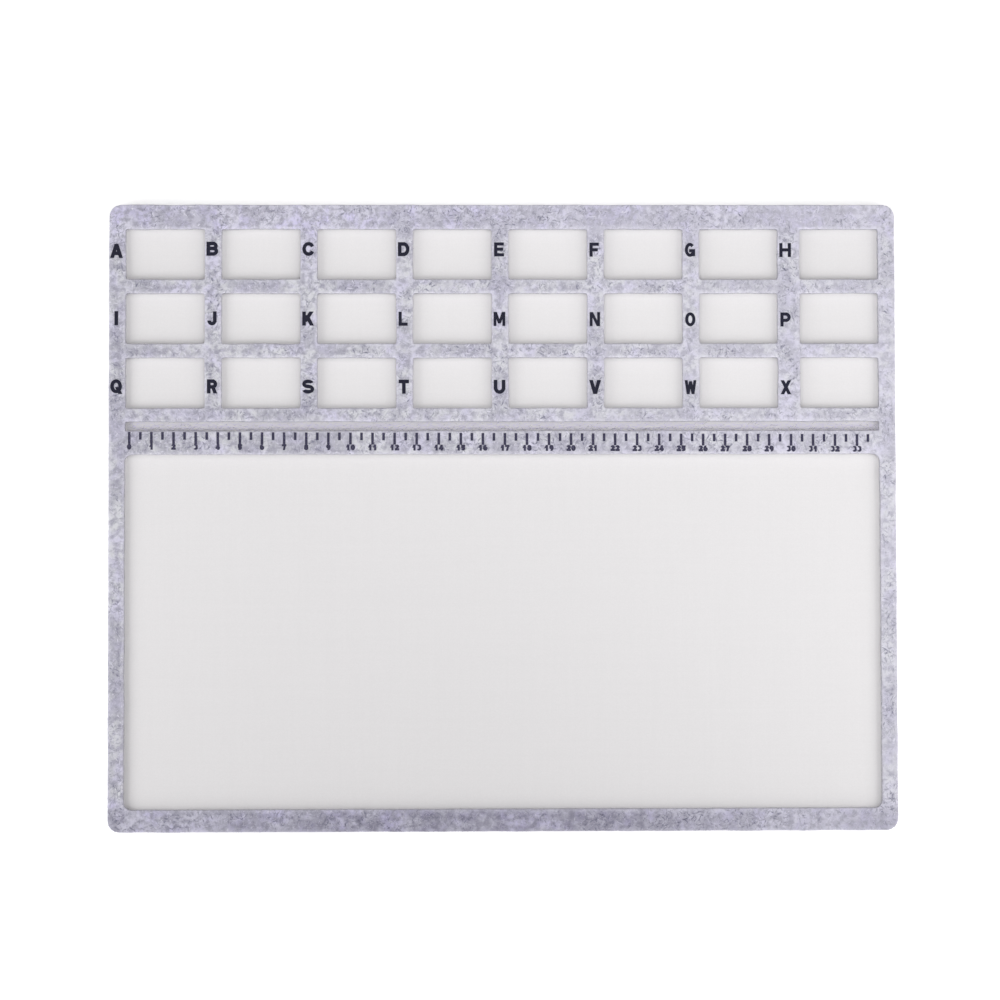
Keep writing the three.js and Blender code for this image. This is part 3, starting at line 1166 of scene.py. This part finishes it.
class BEADMAT_OT_loose_fibres(bpy.types.Operator):
    """Scatter loose fibres over the felt frame and along its cut edges"""

    bl_idname = "bead_mat.loose_fibres"
    bl_label = "Loose fibres"

    def execute(self, context):
        self.edge_fibres(context)
        self.top_fibres(context)
        self.groove_lint(context)
        return {"FINISHED"}

    def edge_fibres(self, context):
        """Short fibres that stand out of the cut edges."""
        fibres = context.scene.bead_mat.fibres
        chance = random.Random(21)
        reaches = (0.4, 1.3)  # how far a fibre stands out, as a share of the edge reach
        drifts = (-1.2, 1.2)  # how far its tip strays along the edge, as such a share
        lifts = (-0.5, 0.6)  # how far it points up or down, as such a share
        levels = (0.3, 0.9)  # where in the felt's thickness it is rooted
        mixture = (12, 1, 8)  # how many there are of each kind
        low, high = (corner.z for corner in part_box("felt_frame"))
        paths = []
        kinds = []
        for loop in outlines("felt_frame"):
            ring = spaced(loop, fibres.edge_gap)
            for point, way in zip(ring, inward(ring)):
                outward = -way.normalized()
                along = Vector((-outward.y, outward.x))
                reach = fibres.edge_reach * chance.uniform(*reaches)
                drift = fibres.edge_reach * chance.uniform(*drifts)
                lift = fibres.edge_reach * chance.uniform(*lifts)
                root = point + way * cut_stray(point)
                height = low + chance.uniform(*levels) * (high - low)
                path = []
                for share_out in (0, 1 / 3, 2 / 3, 1):
                    flat = root + outward * (reach * share_out - fibres.root_depth)
                    flat = flat + along * drift * share_out ** 2
                    bowed = share_out * (1.5 - share_out)  # steep at the root, level near the tip
                    path.append(Vector((*flat, height + lift * bowed)))
                paths.append(path)
                kinds.append(chance.choices(FIBRE_KINDS, weights=mixture)[0])
        make_fibres("cut_edge_fibres", paths, kinds, context.scene.bead_mat.felt.lavender, context)

    def top_fibres(self, context):
        """Longer fibres that lie on the upper side."""
        fibres = context.scene.bead_mat.fibres
        chance = random.Random(22)
        turns = (-0.7, 0.7)  # radians that a fibre turns along its length
        reaches = (0.4, 1.0)  # its length, as a share of the top length
        mixture = (5, 1.5, 2)  # how many there are of each kind
        steps = 6
        fewest_points = 4  # a fibre that is cut shorter is left out
        height_at = surface_height(FRAME_PIECE)
        # Ink binds the fibres under it, so a loose fibre ends where a printed mark begins.
        ink_heights = [surface_height(piece_name) for piece_name in PRINTED_PIECES]
        # Lower than this lies what is not the upper side: the cloth, and the rounded rim further down.
        rim_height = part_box("felt_frame")[1].z - context.scene.bead_mat.felt.edge_round
        rings = [spaced(loop, fibres.top_gap) for loop in outlines("felt_frame")]
        paths = []
        kinds = []
        for spot in scattered(rings, fibres.top_gap, seed=23):
            if height_at(spot.x, spot.y) < rim_height:
                continue
            heading = chance.uniform(0, 2 * math.pi)
            turn = chance.uniform(*turns)
            reach = fibres.top_length * chance.uniform(*reaches)
            kind = chance.choices(FIBRE_KINDS, weights=mixture)[0]
            point = spot.copy()
            path = []
            for step in range(steps + 1):
                lift = fibres.top_arch * math.sin(math.pi * step / steps) - fibres.top_sink
                ground = height_at(point.x, point.y)
                inked = any(ink_height(point.x, point.y) > ground for ink_height in ink_heights)
                if inked or ground < rim_height:
                    break
                path.append(Vector((point.x, point.y, ground + lift)))
                heading += turn / steps
                point = point + Vector((math.cos(heading), math.sin(heading))) * reach / steps
            if len(path) >= fewest_points:
                paths.append(path)
                kinds.append(kind)
        make_fibres("loose_top_fibres", paths, kinds, context.scene.bead_mat.felt.lavender, context)

    def groove_lint(self, context):
        """Short fibres that have gathered on the cloth in the groove."""
        fibres = context.scene.bead_mat.fibres
        chance = random.Random(24)
        headings = (-1, 1)  # radians between a fibre and the groove
        reaches = (0.5, 1.0)  # its length, as a share of the lint length
        bows = (-0.15, 0.15)  # how far it bends aside, as a share of its own length
        mixture = (14, 1, 1)  # how many there are of each kind
        shadow_lint_mixture = (6, 6, 1)  # and along the lower wall, where more dark fibres are added as painted shade
        shadow_lint_share = 0.25  # how much of the groove's depth that is
        height_at = surface_height(CLOTH_PIECE)
        groove = min(outlines("felt_frame"), key=opening_depth)
        left, right, low, high = extent(groove)
        clear = fibres.thickness
        shadow_lint_below = low + clear + shadow_lint_share * (high - low - 2 * clear)
        paths = []
        kinds = []
        for spot in scattered([spaced(groove, fibres.lint_gap)], fibres.lint_gap, seed=25):
            heading = chance.uniform(*headings)
            reach = fibres.lint_length * chance.uniform(*reaches)
            bow = chance.uniform(*bows) * reach
            ahead = Vector((math.cos(heading), math.sin(heading))) * reach
            path = []
            for step in (0, 0.35, 0.65, 1):
                point = spot + ahead * step + Vector((0, bow * step * (1 - step)))
                x = min(max(point.x, left + clear), right - clear)
                y = min(max(point.y, low + clear), high - clear)
                path.append(Vector((x, y, height_at(x, y) + fibres.thickness)))
            paths.append(path)
            # Dark fibres along the lower wall are painted shade.
            weights = shadow_lint_mixture if spot.y < shadow_lint_below else mixture
            kinds.append(chance.choices(FIBRE_KINDS, weights=weights)[0])
        make_fibres("groove_lint", paths, kinds, fibres.lint, context)


class BEADMAT_OT_stage(bpy.types.Operator):
    """Lay the floor and set up the light and the camera"""

    bl_idname = "bead_mat.stage"
    bl_label = "Stage"

    def execute(self, context):
        stage = context.scene.bead_mat.stage
        self.lay_floor(context, stage)
        self.light_dome(context, stage)
        middle = (0, 0, 0)
        for name, place, aim, power in (
            ("left_soft_box", stage.left_place, middle, stage.left_box),
            ("right_soft_box", stage.right_place, middle, stage.right_box),
            ("top_soft_box", stage.top_place, (*stage.top_place[:2], 0), stage.top_box),
            ("corner_soft_box", stage.corner_place, (*stage.corner_place[:2], 0), stage.corner_box),
        ):
            self.hang_soft_box(context, name, place, aim, power)
        self.place_camera(context, stage)
        # Colours are shown as they are set, without a film-like curve that would grey the white paper.
        context.scene.view_settings.view_transform = "Standard"
        return {"FINISHED"}

    def lay_floor(self, context, stage):
        """A wide sheet of paper just under the mat."""
        reach = 20  # metres, so that its edge lies near the horizon of any view
        clear = 0.1 * MM
        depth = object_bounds()[0].z - clear
        corners = [(*corner, depth) for corner in rectangle(-reach, -reach, reach, reach)]
        mesh = bpy.data.meshes.new("floor")
        mesh.from_pydata(corners, [], [(0, 1, 2, 3)])
        mesh.materials.append(paper_material(stage))
        floor = bpy.data.objects.new("floor", mesh)
        context.scene.collection.objects.link(floor)
        floor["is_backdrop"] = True

    def light_dome(self, context, stage):
        """Soft light from all round, strongest from the work window's end."""
        world = bpy.data.worlds.new("studio_dome")
        world.use_nodes = True
        tree = world.node_tree
        tree.nodes.clear()
        here = add_node(tree, "TexCoord", output="Generated")
        way = add_node(tree, "SeparateXYZ", {"Vector": here}, "Y")
        leaning = {0: way, 1: -stage.lean * stage.dome, 2: stage.dome}
        glow = add_node(tree, "Math", leaning, operation="MULTIPLY_ADD")
        light = add_node(tree, "Background", {"Color": (1, 1, 1), "Strength": glow})
        # What is seen behind the floor is as bright as the floor is far away from the lamps.
        far_floor = {"Color": stage.floor, "Strength": stage.dome + stage.floor_glow}
        backdrop = add_node(tree, "Background", far_floor)
        seen = add_node(tree, "LightPath", output="Is Camera Ray")
        sky = add_node(tree, "MixShader", {0: seen, 1: light, 2: backdrop})
        add_node(tree, "OutputWorld", {"Surface": sky})
        context.scene.world = world

    def hang_soft_box(self, context, name, place, aim, power):
        """A soft box at that place, turned to the point aimed at and left out of the picture."""
        lamp = bpy.data.lights.new(name, "AREA")
        lamp.shape = "SQUARE"
        lamp.size = context.scene.bead_mat.stage.box_size
        lamp.energy = power
        box = bpy.data.objects.new(name, lamp)
        box.location = place
        box.rotation_euler = (Vector(aim) - Vector(place)).to_track_quat("-Z", "Y").to_euler()
        box.visible_camera = False
        context.scene.collection.objects.link(box)

    def place_camera(self, context, stage):
        """The camera over the mat, where it was for the photograph."""
        camera = bpy.data.cameras.new("camera")
        camera.lens = stage.lens
        camera.sensor_width = SENSOR_WIDTH
        holder = bpy.data.objects.new("camera", camera)
        holder.location = stage.camera_place
        holder.rotation_euler = stage.camera_turn
        context.scene.collection.objects.link(holder)
        context.scene.camera = holder


STEPS = (
    BEADMAT_OT_felt_base,
    BEADMAT_OT_work_cloth,
    BEADMAT_OT_glue_films,
    BEADMAT_OT_felt_frame,
    BEADMAT_OT_index_letters,
    BEADMAT_OT_ruler,
    BEADMAT_OT_loose_fibres,
    BEADMAT_OT_stage,
)


class BEADMAT_PT_sidebar(bpy.types.Panel):
    """The steps that build the mat, and its sizes and colours"""

    bl_idname = "BEADMAT_PT_sidebar"
    bl_label = "Bead Mat"
    bl_space_type = "VIEW_3D"
    bl_region_type = "UI"
    bl_category = "Bead Mat"

    def draw(self, context):
        settings = context.scene.bead_mat
        for step in STEPS:
            self.layout.operator(step.bl_idname)
        for group_name in MatSettings.__annotations__:
            group = getattr(settings, group_name)
            box = self.layout.box()
            box.label(text=group_name.capitalize())
            for value_name in type(group).__annotations__:
                box.prop(group, value_name)


SETTINGS = (
    FeltSettings, FibreSettings, ClothSettings, GlueSettings, PrintSettings, StageSettings, MatSettings,
)


def register():
    """Registers the settings, the steps and the panel."""
    for part in (*SETTINGS, *STEPS, BEADMAT_PT_sidebar):
        bpy.utils.register_class(part)
    bpy.types.Scene.bead_mat = bpy.props.PointerProperty(
        type=MatSettings, name="Bead mat", description="Sizes and colours of the bead mat",
    )


def unregister():
    """Takes the panel, the steps and the settings away again."""
    del bpy.types.Scene.bead_mat
    for part in reversed((*SETTINGS, *STEPS, BEADMAT_PT_sidebar)):
        bpy.utils.unregister_class(part)


def main():
    """Builds the mat and its stage."""
    register()
    bpy.ops.bead_mat.felt_base()
    bpy.ops.bead_mat.work_cloth()
    bpy.ops.bead_mat.glue_films()
    bpy.ops.bead_mat.felt_frame()
    bpy.ops.bead_mat.index_letters()
    bpy.ops.bead_mat.ruler()
    bpy.ops.bead_mat.loose_fibres()
    bpy.ops.bead_mat.stage()


if __name__ == "__main__":
    main()
